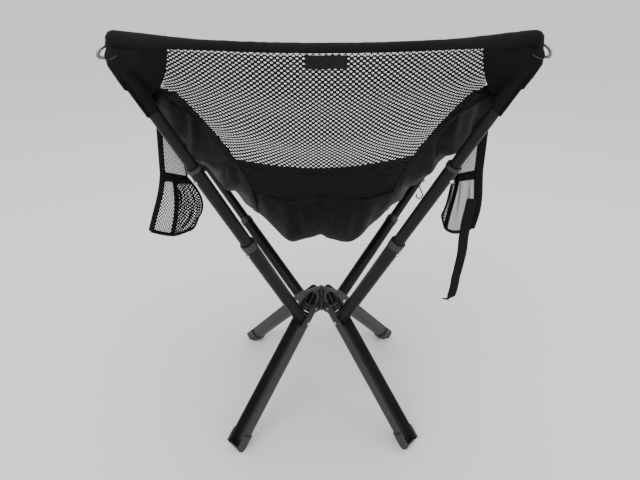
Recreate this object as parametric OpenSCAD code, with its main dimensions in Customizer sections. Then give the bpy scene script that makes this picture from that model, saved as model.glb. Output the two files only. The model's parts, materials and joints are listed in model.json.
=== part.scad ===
// Ultralight telescopic camp chair: four folding channel legs, four telescopic
// poles and a fabric sling with a mesh back. +Z is up and the sitter faces -Y.

/* [Frame] */
// Distance from the hub's centre line to a leg's hinge pin
leg_pin_r = 29; // [29:0.5:32]
// Height of the leg hinge pins above the ground
leg_pin_z = 210; // [206:1:216]
// Horizontal distance from the hub's centre line to the line of the feet
foot_r = 220; // [215:1:225]
// Distance along a leg from its hinge pin to the pole's pivot pin
pole_pin_run = 30; // [29:0.5:32]
// Length of a leg channel beyond its hinge pin
channel_len = 268; // [264:1:268]
// Outer width of a leg channel
channel_w = 28; // [27.6:0.2:28.2]
// Sheet thickness of a leg channel
channel_wall = 1.8; // [1.4:0.1:1.8]

/* [Poles] */
// Elevation of the two back poles above the horizontal
back_rise = 61.6; // [58:0.2:64]
// Elevation of the two front poles above the horizontal
front_rise = 35.4; // [33:0.2:38]
// Length of a back pole from its pivot pin to its tip
back_pole_len = 537; // [533:1:540]
// Length of a front pole from its pivot pin to its tip
front_pole_len = 381; // [376:1:386]
// Where a back pole's lower tube ends
back_lower_end = 230; // [226:1:231]
// Where a back pole's middle tube ends
back_mid_end = 382; // [376:1:384]
// Where a front pole's lower tube ends
front_lower_end = 205; // [200:1:206]
// Outer diameter of the lower tubes
lower_od = 22; // [21.6:0.1:22]
// Outer diameter of the middle tubes
mid_od = 18; // [17.6:0.1:18]
// Outer diameter of the thin upper tubes
upper_od = 14.6; // [14:0.1:14.6]

/* [Sling] */
// Thickness of the fabric panels
fabric_t = 2.4; // [2:0.2:3]
// How far each side edge of the sling sags between its two corners
side_sag = 50; // [30:5:60]
// Height of the lowest handle of the seat's centre curve
seat_low = 234; // [225:1:245]
// Radius of the rolled top hem
hem_r = 6; // [4:0.5:7]

/* [Hidden] */

$fn = 64;

BACK_LEFT = 45;
BACK_RIGHT = 135;
FRONT_RIGHT = 225;
FRONT_LEFT = 315;
CORNERS = [BACK_LEFT, BACK_RIGHT, FRONT_RIGHT, FRONT_LEFT];
LEFT = 1;
RIGHT = -1;

// Colours
plastic_c = [0.13, 0.14, 0.14];
alloy_c = [0.17, 0.18, 0.19];
silver_c = [0.75, 0.75, 0.76];
fabric_c = [0.1, 0.1, 0.1];
mesh_c = [0.2, 0.2, 0.21];
label_c = [0.45, 0.45, 0.46];

// Legs
leg_drop = atan(leg_pin_z / (foot_r - leg_pin_r));
pin_r = 2;
pin_gap = 0.05;
pin_head_r = 2.8;
pin_head_h = 1;
floor_in = -12.5;
floor_out = floor_in - channel_wall;
channel_top = 12;
channel_end_r = 12;
channel_floor_start = 14;
channel_half = channel_w / 2;
// The channel is a U: this is the centre of its round bottom
channel_round_z = floor_out + channel_half;
lug_half = channel_half - channel_wall - 0.4;

// Foot caps
foot_wall = 2.4;
foot_start = 252;
foot_end = 281;
foot_end_wall = 3;
foot_end_top = 5;
foot_round = 14;
foot_skin = 1.5;

// Poles
pole_pin_x = leg_pin_r + pole_pin_run * cos(leg_drop);
pole_pin_z = leg_pin_z - pole_pin_run * sin(leg_drop);
tube_gap = 0.3;
lower_id = mid_od + 2 * tube_gap;
mid_id = upper_od + 2 * tube_gap;
upper_id = upper_od - 2.4;
front_upper_id = mid_od - 2.8;
tube_start = -4.6;
plug_end = 13;
collar_od = 23.6;
lower_collar_len = 12;
mid_collar_od = 20.6;
mid_collar_len = 5;
stop_gap = 0.4;
back_tip_len = 5.2;
front_tip_len = 12;
back_slide_mid = back_mid_end - back_lower_end - mid_collar_len - stop_gap;
back_slide_upper = back_pole_len - back_mid_end - back_tip_len - stop_gap;
front_slide = front_pole_len - front_lower_end - front_tip_len - stop_gap;
// A retracted tube stops this far above the pivot pin
inner_rest = 17;
button_r = 3;
button_hole_r = 3.3;
button_up = 2.6;
button_from_mouth = 20;

// Sling
back_tip_r = pole_pin_x + back_pole_len * cos(back_rise);
back_tip_z = pole_pin_z + back_pole_len * sin(back_rise);
front_tip_r = pole_pin_x + front_pole_len * cos(front_rise);
front_tip_z = pole_pin_z + front_pole_len * sin(front_rise);
corner_off = 17;
// The sling's back corner lies this far past the pole's tip
corner_past = 7;
half_root = sqrt(0.5);
back_corner_r = back_tip_r + corner_past * cos(back_rise) - corner_off * sin(back_rise);
back_corner = [back_corner_r * half_root, back_corner_r * half_root,
    back_tip_z + corner_past * sin(back_rise) + corner_off * cos(back_rise) + 2];
front_corner = [(front_tip_r - corner_off * sin(front_rise)) * half_root,
    -(front_tip_r - corner_off * sin(front_rise)) * half_root,
    front_tip_z + corner_off * cos(front_rise) - 2];
// The seat's centre line, as the four handles of a cubic curve in Y and Z
spine = [[0, -250, 376], [0, -120, seat_low + 44], [0, 30, seat_low - 4], [0, 210, 666]];

// The hub stands this far from the origin, which is at the middle of the box
hub_y = (front_tip_r - back_tip_r) * half_root / 2 + 0.5;

// ---- Frames ----

// Places children in the vertical plane of one corner: +X outward, +Z up
module corner(angle) {
    translate([0, hub_y, 0]) rotate([0, 0, angle]) children();
}

// The leg's own frame: origin at its hinge pin, +X down the leg, +Z out of its open side
module leg_frame(angle) {
    corner(angle) translate([leg_pin_r, 0, leg_pin_z]) rotate([0, leg_drop, 0]) children();
}

// The pole's own frame: origin at its pivot pin, +Z up the pole, +X to its underside
module pole_frame(angle, rise) {
    corner(angle) translate([pole_pin_x, 0, pole_pin_z]) rotate([0, 90 - rise, 0]) children();
}

module across(length, radius) {
    rotate([90, 0, 0]) cylinder(h = length, r = radius, center = true);
}

// ---- Hub ----

hub_top = 240;
roof_base = 222.4;
lug_round = 11.6;
// Each lug's face leans back from this low point, and ends in a round arch
face_low = [41, 205];
face_tilt = 38.6;
face_rise = [7, 29.4];
hood_half = 13.6;
cell_half = 10.4;
cell_rise = [5.6, 27];
cell_rows = [[2, 10.4], [12, 60]];
cell_depth = 20;
rib_t = 1.3;

// An arch, upright along +X: straight sides from x = low up to its rise, then a half circle
function arch(half, low, rise) = concat([[low, -half]],
    [for (a = [-90 : 7.5 : 90]) [rise + half * cos(a), half * sin(a)]], [[low, half]]);

// Places children on a lug's face: +X up the face, +Z out of it
module on_face() {
    translate([face_low[0], 0, face_low[1]]) rotate([0, 90 - face_tilt, 0]) rotate([0, 0, 180])
        children();
}

// One half of the hub's roof, which falls from the crown to its outer side and its front
module roof(side) {
    translate([0, hub_y, 0]) hull() {
        translate([0, 0, roof_base]) linear_extrude(1.2)
            polygon([for (p = [[-1, -22], [24, -13], [33, 0], [32, 13], [17, 15], [-1, 3]])
                [side * p[0], p[1]]]);
        translate([-1, -1, hub_top - 1]) cube([2, 2, 1]);
    }
}

// One lug in the corner's plane, before its cells are cored. Back lugs (1) are taller than front ones (0)
module lug_blank(back) {
    top = face_low + (face_rise[back] + lug_half + 5) * [-sin(face_tilt), cos(face_tilt)];
    intersection() {
        rotate([90, 0, 0]) linear_extrude(2 * lug_half + 6, center = true) union() {
            translate([leg_pin_r, leg_pin_z]) circle(lug_round);
            polygon([[0, 199], [leg_pin_r, leg_pin_z - lug_round + 0.1],
                [leg_pin_r + 8, leg_pin_z - 8.3], face_low, top, [0, top[1] - 2]]);
        }
        on_face() translate([0, 0, -80]) linear_extrude(79.9)
            polygon(arch(lug_half, -40, face_rise[back]));
    }
}

// A back lug is wider where it stands above its channel's side walls
module hood() {
    intersection() {
        on_face() translate([0, 0, -24]) linear_extrude(24)
            polygon(arch(hood_half, 0, face_rise[1] + lug_half - hood_half));
        translate([-20, -40, roof_base]) cube([80, 80, 40]);
    }
}

// The cells moulded into a lug's face: two columns inside one arch, split by a cross rib
module arch_cells(back) {
    on_face() for (side = [-1, 1], row = cell_rows)
        translate([0, 0, -cell_depth]) linear_extrude(cell_depth + 20) intersection() {
            polygon(arch(cell_half, 0, cell_rise[back]));
            translate([row[0], side > 0 ? rib_t / 2 : -cell_half])
                square([row[1] - row[0], cell_half - rib_t / 2]);
        }
}

module hub_body() {
    web_t = 1.8;
    web_low = 202;
    skirt_r = 15;
    roof(LEFT);
    roof(RIGHT);
    translate([0, hub_y, 198]) cylinder(h = 26, r = skirt_r);
    translate([0, hub_y, 222]) cylinder(h = hub_top - 222.6, r1 = 8, r2 = 3);
    for (angle = CORNERS) corner(angle) lug_blank(angle < 180 ? 1 : 0);
    for (angle = [BACK_LEFT, BACK_RIGHT]) corner(angle) hood();
    for (angle = CORNERS) corner(angle + 45) rotate([90, 0, 0])
        linear_extrude(web_t, center = true)
            polygon([[-1, web_low], [27, web_low], [27, 208], [19, 222], [6, 236], [-1, 236]]);
}

module hub() {
    boss_r = 4.2;
    color(plastic_c) difference() {
        union() {
            difference() {
                hub_body();
                for (angle = CORNERS) corner(angle) arch_cells(angle < 180 ? 1 : 0);
            }
            // the barrel around each hinge pin, which crosses the cells
            for (angle = CORNERS)
                corner(angle) translate([leg_pin_r, 0, leg_pin_z]) across(2 * lug_half - 1, boss_r);
        }
        for (angle = CORNERS)
            corner(angle) translate([leg_pin_r, 0, leg_pin_z]) across(60, pin_r + pin_gap);
    }
}

// A rivet: a plain shank with a low round head at each end
module rivet(span) {
    across(span, pin_r);
    for (side = [-1, 1])
        translate([0, side * (span / 2 + pin_head_h / 2), 0]) across(pin_head_h, pin_head_r);
}

module leg_pins() {
    color(silver_c) for (angle = CORNERS)
        corner(angle) translate([leg_pin_r, 0, leg_pin_z]) rivet(channel_w + 0.2);
}

// ---- Legs ----

// Side outline of a channel, X along the leg and Y towards its open side, round at its upper end
module channel_outline() {
    polygon(concat([for (a = [90 : 7.5 : 270]) channel_end_r * [cos(a), sin(a)]],
        [[channel_floor_start, floor_out], [channel_len, floor_out], [channel_len, channel_top]]));
}

// Section of a U with a round bottom, X across and Y towards its open side
function u_section(radius, top) = concat([[-radius, top]],
    [for (a = [180 : 7.5 : 360]) [radius * cos(a), channel_round_z + radius * sin(a)]],
    [[radius, top]]);

module along_leg(from, to) {
    translate([from, 0, 0]) rotate([90, 0, 90]) linear_extrude(to - from) children();
}

module leg_channel(angle) {
    inner = channel_half - channel_wall;
    color(alloy_c) leg_frame(angle) difference() {
        intersection() {
            along_leg(-20, channel_len) polygon(u_section(channel_half, channel_top));
            rotate([90, 0, 0]) linear_extrude(channel_w + 2, center = true) channel_outline();
        }
        along_leg(-21, channel_len + 1) polygon(u_section(inner, channel_top + 1));
        // the slot in the bottom that the hub's lug swings through
        translate([-20, -inner, -20]) cube([20 + channel_floor_start, 2 * inner, 40]);
        across(60, pin_r + pin_gap);
        translate([pole_pin_run, 0, 0]) across(60, pin_r + pin_gap);
    }
}

module pole_pin(angle) {
    color(silver_c) leg_frame(angle) translate([pole_pin_run, 0, 0]) rivet(channel_w + 0.2);
}

// A foot's side outline: round at the toe, with a low end wall that the folded pole clears
module foot_outline() {
    low = floor_out - foot_wall;
    end_in = foot_end - foot_end_wall;
    intersection() {
        polygon([[foot_start, channel_top], [end_in, channel_top], [foot_end, channel_top - 6],
            [foot_end, low], [foot_start, low]]);
        toe_round(foot_end, low, foot_round);
    }
}

// Everything behind a toe of that radius, which ends at x and stands on z
module toe_round(x, z, radius) {
    translate([x - radius, z + radius]) circle(radius);
    translate([foot_start - 2, z]) square([x - radius - foot_start + 2, 60]);
    translate([foot_start - 2, z + radius]) square([x - foot_start + 2, 60]);
}

// The toe's hollow beyond the channel's end, where the folded pole's tip lies
module toe_hollow() {
    inner = channel_half - channel_wall;
    intersection() {
        along_leg(channel_len - 1, foot_end - foot_end_wall) polygon(u_section(inner, channel_top + 1));
        rotate([90, 0, 0]) linear_extrude(2 * inner, center = true)
            toe_round(foot_end - foot_skin, floor_out - foot_wall + foot_skin, foot_round - foot_skin);
    }
}

module foot(angle) {
    fit = 0.1;
    inner = channel_half - channel_wall;
    color(plastic_c) intersection() {
        difference() {
            leg_frame(angle) intersection() {
                along_leg(foot_start, foot_end) polygon(u_section(channel_half + foot_wall, channel_top));
                rotate([90, 0, 0]) linear_extrude(60, center = true) foot_outline();
            }
            // the socket that the channel's end sits in
            leg_frame(angle) along_leg(foot_start - 1, channel_len + fit)
                polygon(u_section(channel_half + fit, channel_top + 1));
            intersection() {
                leg_frame(angle) toe_hollow();
                translate([-400, -400, foot_skin]) cube([800, 800, 400]);
            }
            // the low lip of the end wall
            leg_frame(angle) translate([foot_end - foot_end_wall - 1, -inner, foot_end_top])
                cube([foot_end_wall + 2, 2 * inner, 20]);
        }
        translate([-400, -400, 0]) cube([800, 800, 400]);
    }
}

// ---- Poles ----

module pipe(od, id, from, to) {
    translate([0, 0, from]) difference() {
        cylinder(h = to - from, d = od);
        translate([0, 0, -1]) cylinder(h = to - from + 2, d = id);
    }
}

module button_hole(at) {
    translate([0, 0, at]) rotate([0, 90, 0]) cylinder(h = 20, r = button_hole_r);
}

module lower_tube(angle, rise, end) {
    color(alloy_c) pole_frame(angle, rise) difference() {
        pipe(lower_od, lower_id, tube_start, end - 1);
        across(40, pin_r + pin_gap);
        button_hole(end - button_from_mouth);
    }
}

module pivot_plug(angle, rise) {
    color(plastic_c) pole_frame(angle, rise) difference() {
        translate([0, 0, tube_start + 1.5]) cylinder(h = plug_end - tube_start - 1.5, d = lower_id - 0.1);
        across(40, pin_r + pin_gap);
    }
}

// A sleeve over the mouth of a lower tube, with a lip that covers the tube's end
module lower_collar(angle, rise, end) {
    color(plastic_c) pole_frame(angle, rise) difference() {
        union() {
            translate([0, 0, end - lower_collar_len]) cylinder(h = lower_collar_len - 1.2, d = collar_od);
            translate([0, 0, end - 1.2]) cylinder(h = 1.2, d1 = collar_od, d2 = collar_od - 1.4);
        }
        translate([0, 0, end - lower_collar_len - 1]) cylinder(h = lower_collar_len, d = lower_od + 0.1);
        translate([0, 0, end - 2]) cylinder(h = 3, d = lower_id);
    }
}

module mid_tube(angle) {
    bottom = inner_rest + back_slide_mid;
    color(alloy_c) pole_frame(angle, back_rise) difference() {
        pipe(mid_od, mid_id, bottom, back_mid_end - 1);
        button_hole(back_lower_end - button_from_mouth);
        button_hole(back_mid_end - button_from_mouth);
    }
}

module mid_collar(angle) {
    color(plastic_c) pole_frame(angle, back_rise) difference() {
        translate([0, 0, back_mid_end - mid_collar_len]) cylinder(h = mid_collar_len, d = mid_collar_od);
        translate([0, 0, back_mid_end - mid_collar_len - 1]) cylinder(h = mid_collar_len, d = mid_od + 0.1);
        translate([0, 0, back_mid_end - 2]) cylinder(h = 3, d = mid_id);
    }
}

// The last stage of a pole
module upper_tube(angle, rise, od, id, bottom, end, button_at) {
    color(alloy_c) pole_frame(angle, rise) difference() {
        pipe(od, id, bottom, end - 2);
        button_hole(button_at);
    }
}

module back_upper_tube(angle) {
    upper_tube(angle, back_rise, upper_od, upper_id, inner_rest + 3 + back_slide_mid + back_slide_upper,
        back_pole_len, back_mid_end - button_from_mouth);
}

module front_upper_tube(angle) {
    upper_tube(angle, front_rise, mid_od, front_upper_id, inner_rest + front_slide - 4,
        front_pole_len, front_lower_end - button_from_mouth);
}

// A round-ended plug pushed into the pole's last tube
module tip_cap(angle, rise, end, od, id, cap_len) {
    edge = 2;
    color(plastic_c) pole_frame(angle, rise) {
        translate([0, 0, end - cap_len]) difference() {
            union() {
                cylinder(h = cap_len - edge, d = od + 2.6);
                translate([0, 0, cap_len - edge]) cylinder(h = edge, d1 = od + 2.6, d2 = od - 2);
            }
            translate([0, 0, -1]) cylinder(h = cap_len - 1, d = od + 0.1);
        }
        translate([0, 0, end - cap_len - 14]) cylinder(h = cap_len + 12.2, d = id - 0.1);
    }
}

// A spring clip inside a tube: its round button stands out through both tubes' holes
module snap_button(angle, rise, at, outer_od, inner_id) {
    leaf_x = inner_id / 2 - 1.6;
    head_x = outer_od / 2 + button_up;
    color(silver_c) pole_frame(angle, rise) {
        translate([leaf_x, 0, at]) rotate([0, 90, 0]) cylinder(h = head_x - leaf_x - 0.8, r = button_r);
        translate([head_x - 0.8, 0, at]) rotate([0, 90, 0])
            cylinder(h = 0.8, r1 = button_r, r2 = button_r - 1);
        translate([leaf_x - 0.6, -2, at - 4]) cube([0.7, 4, 20]);
    }
}

// ---- Sling ----

function lerp(p, q, t) = p + (q - p) * t;
function bezier(p, t) = pow(1 - t, 3) * p[0] + 3 * t * pow(1 - t, 2) * p[1]
    + 3 * t * t * (1 - t) * p[2] + pow(t, 3) * p[3];
// The sling's left edge, from the front corner at t = 0 to the back corner at t = 1
function edge_point(t) = lerp(front_corner, back_corner, t) - [0, 0, 4 * t * (1 - t) * side_sag];
// How much the stretched wings stand above a plain parabola
function wing_lift(s, t) = 150 * pow(abs(s), 3) * (1 - abs(s)) * sin(min(t / 0.75, 1) * 180);
// A point of the sling: s runs from -1 at the right edge to 1 at the left, t from front to top
function sling(s, t) = let (mid = bezier(spine, t), edge = edge_point(t))
    [s * edge[0], mid[1] + (edge[1] - mid[1]) * s * s + hub_y,
        mid[2] + (edge[2] - mid[2]) * s * s + wing_lift(s, t)];
function unit(v) = v / norm(v);
function sling_normal(s, t) = let (d = 0.01)
    unit(cross(sling(s + d, t) - sling(s - d, t), sling(s, t + d) - sling(s, t - d)));

// A closed shell on the sling's surface. edges(t) gives the shell's limits in s at t
module sling_shell(t_from, t_to, s_low, s_high, columns, rows, thick) {
    count = (columns + 1) * (rows + 1);
    spots = [for (j = [0 : rows], i = [0 : columns])
        let (t = lerp(t_from, t_to, j / rows))
        [lerp(s_low(t), s_high(t), i / columns), t]];
    inside = [for (q = spots) sling(q[0], q[1]) + sling_normal(q[0], q[1]) * thick / 2];
    outside = [for (q = spots) sling(q[0], q[1]) - sling_normal(q[0], q[1]) * thick / 2];
    function at(i, j) = j * (columns + 1) + i;
    quads = [for (j = [0 : rows - 1], i = [0 : columns - 1])
        [at(i, j), at(i + 1, j), at(i + 1, j + 1), at(i, j + 1)]];
    rim = concat([for (i = [0 : columns]) at(i, 0)], [for (j = [1 : rows]) at(columns, j)],
        [for (i = [columns - 1 : -1 : 0]) at(i, rows)], [for (j = [rows - 1 : -1 : 1]) at(0, j)]);
    n = len(rim);
    faces = concat(
        [for (q = quads) each [[q[2], q[1], q[0]], [q[3], q[2], q[0]]]],
        [for (q = quads) each [[q[0], q[1], q[2]] + count * [1, 1, 1],
            [q[0], q[2], q[3]] + count * [1, 1, 1]]],
        [for (k = [0 : n - 1]) let (a = rim[k], b = rim[(k + 1) % n])
            each [[a, b, b + count], [a, b + count, a + count]]]);
    polyhedron(concat(inside, outside), faces);
}

seam_t = 0.76;
top_t = 0.99;
patch_t = 0.9;
front_t = 0.05;
seam_gap = 0.012;
// Where the middle panels end and the wings or corner patches begin, in s
function panel_edge(t) = t >= patch_t ? lerp(0.88, 0.78, (t - patch_t) / (1 - patch_t))
    : t > seam_t ? lerp(0.53, 0.81, (t - seam_t) / (patch_t - seam_t)) : lerp(0.6, 0.53, t / seam_t);

module seat_panel() {
    color(fabric_c) sling_shell(0, seam_t - 0.004, function (t) -panel_edge(t) + seam_gap,
        function (t) panel_edge(t) - seam_gap, 12, 12, fabric_t);
}

module back_mesh() {
    color(mesh_c) sling_shell(seam_t + 0.004, top_t, function (t) -panel_edge(t) + seam_gap,
        function (t) panel_edge(t) - seam_gap, 12, 12, fabric_t);
}

module wing(side) {
    low = function (t) side > 0 ? panel_edge(t) : -0.985;
    high = function (t) side > 0 ? 0.985 : -panel_edge(t);
    color(fabric_c) sling_shell(front_t + 0.005, patch_t - 0.005, low, high, 4, 16, fabric_t);
}

module back_corner_patches() {
    color(fabric_c) for (side = [LEFT, RIGHT])
        sling_shell(patch_t, top_t, function (t) side > 0 ? panel_edge(t) + seam_gap : -0.985,
            function (t) side > 0 ? 0.985 : -panel_edge(t) - seam_gap, 3, 3, fabric_t);
}

module front_corner_patches() {
    color(fabric_c) for (side = [LEFT, RIGHT])
        sling_shell(0, front_t, function (t) side > 0 ? panel_edge(t) : -0.985,
            function (t) side > 0 ? 0.985 : -panel_edge(t), 4, 2, fabric_t + 1);
}

// A closed tube through a list of points, round or flattened. "flat" scales its second axis
module swept(points, radius, flat, side, sides) {
    n = len(points);
    rings = [for (k = [0 : n - 1])
        let (tangent = unit(points[min(k + 1, n - 1)] - points[max(k - 1, 0)]),
            u = unit(side - tangent * (side * tangent)), v = cross(tangent, u))
        for (m = [0 : sides - 1])
            points[k] + radius * cos(360 * m / sides) * u + radius * flat * sin(360 * m / sides) * v];
    faces = concat(
        [[for (m = [sides - 1 : -1 : 0]) m]],
        [[for (m = [0 : sides - 1]) (n - 1) * sides + m]],
        [for (k = [0 : n - 2], m = [0 : sides - 1])
            let (a = k * sides + m, b = k * sides + (m + 1) % sides)
            each [[a, b, b + sides], [a, b + sides, a + sides]]]);
    polyhedron(rings, faces);
}

module top_hem() {
    steps = 16;
    color(fabric_c)
        swept([for (k = [0 : steps]) sling(lerp(-0.995, 0.995, k / steps), 1) + [0, 0, 2]],
            hem_r, 1, [0, 0, 1], 12);
}

// A small metal ring beside each back pole's tip
module corner_loops() {
    ring_r = 8.5;
    wire_r = 1.2;
    beside = 22;
    color(silver_c) for (side = [LEFT, RIGHT])
        corner(side > 0 ? BACK_LEFT : BACK_RIGHT)
            translate([back_tip_r - 2, -side * beside, back_tip_z]) rotate([0, 20, 0])
                rotate_extrude() translate([ring_r, 0]) circle(wire_r, $fn = 24);
}

// ---- Pockets ----

pocket_y = [-30, 90];
pocket_x = [227.5, 255.5];
pocket_t = 2;
// Heights at the pocket's front and back: its floor, its mouth, and the top of its back panel
pocket_floor = [354, 402];
pocket_mouth = [443, 491];
panel_top = [484, 556];

// A slab across the pocket between two sloping lines, inset by so much at its front and back
module pocket_slab(low, high, from, depth, inset) {
    translate([from, 0, 0]) rotate([90, 0, 90]) linear_extrude(depth)
        polygon([[pocket_y[0] + inset, low[0]], [pocket_y[1] - inset, low[1]],
            [pocket_y[1] - inset, high[1]], [pocket_y[0] + inset, high[0]]]);
}

// A flat bag open at the top, hanging by its back panel from one side edge of the sling
module side_pocket(side) {
    depth = pocket_x[1] - pocket_x[0];
    color(mesh_c) mirror([side > 0 ? 0 : 1, 0, 0]) translate([0, hub_y, 0]) union() {
        difference() {
            pocket_slab(pocket_floor, pocket_mouth, pocket_x[0], depth, 0);
            pocket_slab(pocket_floor + pocket_t * [1, 1], pocket_mouth + [9, 9],
                pocket_x[0] + pocket_t, depth - 2 * pocket_t, pocket_t);
        }
        pocket_slab(pocket_floor + [1, 1], panel_top, pocket_x[0], pocket_t, 0);
    }
}

// Route of the loose strap: it hangs from the right pocket and its end curls under
strap_route = [[-215, 100, 452], [-214, 101, 440], [-213, 101, 427], [-212, 101, 414], [-212, 101, 401],
    [-212, 101, 387], [-213, 101, 373], [-213, 101, 359], [-212, 101, 345], [-211, 101, 332],
    [-210, 100, 319], [-210, 100, 306], [-209, 100, 293], [-208, 99, 282], [-205, 98, 276],
    [-200, 97, 275], [-195, 97, 276]];
strap_w = 16;

module pocket_strap() {
    color(fabric_c)
        swept([for (p = strap_route) p + [0, hub_y, 0]], strap_w / 2, 0.09, [0.8, 0.6, 0], 8);
}

// ---- Hook ----

hook_at = [-229, -259, 346];
hook_r = 7;
hook_wire = 1.5;
hook_drop = 35;
bar_z = 3.4;
bar_r = 1.6;

// Half of the hook: an arc over the bar, then the straight run to the middle of the S
function hook_half() = concat(
    [for (k = [0 : 12]) let (a = -30 + 20 * k) hook_r * [cos(a), 0, sin(a)]],
    [[0, 0, -hook_drop / 2]]);

// A wire hook in the shape of an S, hanging on the bar of its loop
module s_hook() {
    upper = hook_half();
    last = len(upper) - 1;
    lower = [for (k = [last - 1 : -1 : 0]) [-upper[k][0], 0, -hook_drop - upper[k][2]]];
    color(plastic_c) translate([hook_at[0], hook_at[1] + hub_y, hook_at[2]]) mirror([1, 0, 0])
        swept(concat(upper, lower), hook_wire, 1, [0, 1, 0], 12);
}

// A narrow webbing loop under the front hem that holds the hook's bar
module hook_loop() {
    strap = 1.2;
    half = 5;
    top = 56;
    color(fabric_c) translate([hook_at[0], hook_at[1] + hub_y, hook_at[2]]) {
        translate([0, 0, bar_z]) across(2 * half, bar_r);
        for (side = [-1, 1])
            translate([-4, side * half - strap / 2, bar_z - 2]) cube([8, strap, top - bar_z]);
        translate([-4, -half - strap / 2, top - 3]) cube([8, 2 * half + strap, strap]);
    }
}

// A small blank cloth label sewn under the top hem, on the outside of the back
module label() {
    size = [44, 13, 1];
    color(label_c) translate(sling(0, 0.984)) rotate([60, 0, 0]) translate([0, 0, -3.2])
        cube(size, center = true);
}

hub();
leg_pins();
leg_channel(BACK_LEFT);  // leg_channel_back_left
leg_channel(BACK_RIGHT);  // leg_channel_back_right
leg_channel(FRONT_LEFT);  // leg_channel_front_left
leg_channel(FRONT_RIGHT);  // leg_channel_front_right
foot(BACK_LEFT);  // foot_back_left
foot(BACK_RIGHT);  // foot_back_right
foot(FRONT_LEFT);  // foot_front_left
foot(FRONT_RIGHT);  // foot_front_right
pole_pin(BACK_LEFT);  // pole_pin_back_left
pole_pin(BACK_RIGHT);  // pole_pin_back_right
pole_pin(FRONT_LEFT);  // pole_pin_front_left
pole_pin(FRONT_RIGHT);  // pole_pin_front_right
lower_tube(BACK_LEFT, back_rise, back_lower_end);  // lower_tube_back_left
lower_tube(BACK_RIGHT, back_rise, back_lower_end);  // lower_tube_back_right
lower_tube(FRONT_LEFT, front_rise, front_lower_end);  // lower_tube_front_left
lower_tube(FRONT_RIGHT, front_rise, front_lower_end);  // lower_tube_front_right
pivot_plug(BACK_LEFT, back_rise);  // pivot_plug_back_left
pivot_plug(BACK_RIGHT, back_rise);  // pivot_plug_back_right
pivot_plug(FRONT_LEFT, front_rise);  // pivot_plug_front_left
pivot_plug(FRONT_RIGHT, front_rise);  // pivot_plug_front_right
lower_collar(BACK_LEFT, back_rise, back_lower_end);  // lower_collar_back_left
lower_collar(BACK_RIGHT, back_rise, back_lower_end);  // lower_collar_back_right
lower_collar(FRONT_LEFT, front_rise, front_lower_end);  // lower_collar_front_left
lower_collar(FRONT_RIGHT, front_rise, front_lower_end);  // lower_collar_front_right
mid_tube(BACK_LEFT);  // mid_tube_back_left
mid_tube(BACK_RIGHT);  // mid_tube_back_right
mid_collar(BACK_LEFT);  // mid_collar_back_left
mid_collar(BACK_RIGHT);  // mid_collar_back_right
back_upper_tube(BACK_LEFT);  // upper_tube_back_left
back_upper_tube(BACK_RIGHT);  // upper_tube_back_right
front_upper_tube(FRONT_LEFT);  // upper_tube_front_left
front_upper_tube(FRONT_RIGHT);  // upper_tube_front_right
tip_cap(BACK_LEFT, back_rise, back_pole_len, upper_od, upper_id, back_tip_len);  // tip_cap_back_left
tip_cap(BACK_RIGHT, back_rise, back_pole_len, upper_od, upper_id, back_tip_len);  // tip_cap_back_right
tip_cap(FRONT_LEFT, front_rise, front_pole_len, mid_od, front_upper_id, front_tip_len);  // tip_cap_front_left
tip_cap(FRONT_RIGHT, front_rise, front_pole_len, mid_od, front_upper_id, front_tip_len);  // tip_cap_front_right
snap_button(BACK_LEFT, back_rise, back_lower_end - button_from_mouth, lower_od, mid_id);  // snap_button_low_back_left
snap_button(BACK_RIGHT, back_rise, back_lower_end - button_from_mouth, lower_od, mid_id);  // snap_button_low_back_right
snap_button(FRONT_LEFT, front_rise, front_lower_end - button_from_mouth, lower_od, front_upper_id);  // snap_button_low_front_left
snap_button(FRONT_RIGHT, front_rise, front_lower_end - button_from_mouth, lower_od, front_upper_id);  // snap_button_low_front_right
snap_button(BACK_LEFT, back_rise, back_mid_end - button_from_mouth, mid_od, upper_id);  // snap_button_high_back_left
snap_button(BACK_RIGHT, back_rise, back_mid_end - button_from_mouth, mid_od, upper_id);  // snap_button_high_back_right
seat_panel();
back_mesh();
wing(LEFT);  // wing_left
wing(RIGHT);  // wing_right
top_hem();
back_corner_patches();
front_corner_patches();
corner_loops();
side_pocket(LEFT);  // side_pocket_left
side_pocket(RIGHT);  // side_pocket_right
pocket_strap();
hook_loop();
s_hook();
label();
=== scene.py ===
import json
import math

import bpy
import numpy as np
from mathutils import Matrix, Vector, noise


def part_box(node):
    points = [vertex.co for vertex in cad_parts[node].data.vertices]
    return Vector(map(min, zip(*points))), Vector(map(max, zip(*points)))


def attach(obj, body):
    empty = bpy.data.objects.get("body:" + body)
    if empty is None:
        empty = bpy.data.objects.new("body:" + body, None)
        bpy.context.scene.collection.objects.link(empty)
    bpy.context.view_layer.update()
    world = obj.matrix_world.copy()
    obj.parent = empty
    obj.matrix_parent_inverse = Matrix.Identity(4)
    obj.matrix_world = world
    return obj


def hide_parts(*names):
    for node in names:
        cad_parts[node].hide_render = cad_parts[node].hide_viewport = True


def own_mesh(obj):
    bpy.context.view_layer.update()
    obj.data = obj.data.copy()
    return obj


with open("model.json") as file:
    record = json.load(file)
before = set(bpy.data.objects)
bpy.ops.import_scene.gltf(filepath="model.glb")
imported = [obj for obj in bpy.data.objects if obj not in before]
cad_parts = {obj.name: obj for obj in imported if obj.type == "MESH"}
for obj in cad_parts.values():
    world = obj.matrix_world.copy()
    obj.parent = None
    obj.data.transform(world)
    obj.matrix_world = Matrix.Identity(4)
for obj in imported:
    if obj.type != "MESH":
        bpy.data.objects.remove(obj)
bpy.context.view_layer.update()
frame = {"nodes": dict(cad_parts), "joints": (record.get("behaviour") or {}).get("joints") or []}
joints = {j["name"]: j for j in frame["joints"]}
nodes = frame["nodes"]
UP = np.array([0.0, 0.0, 1.0])
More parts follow.
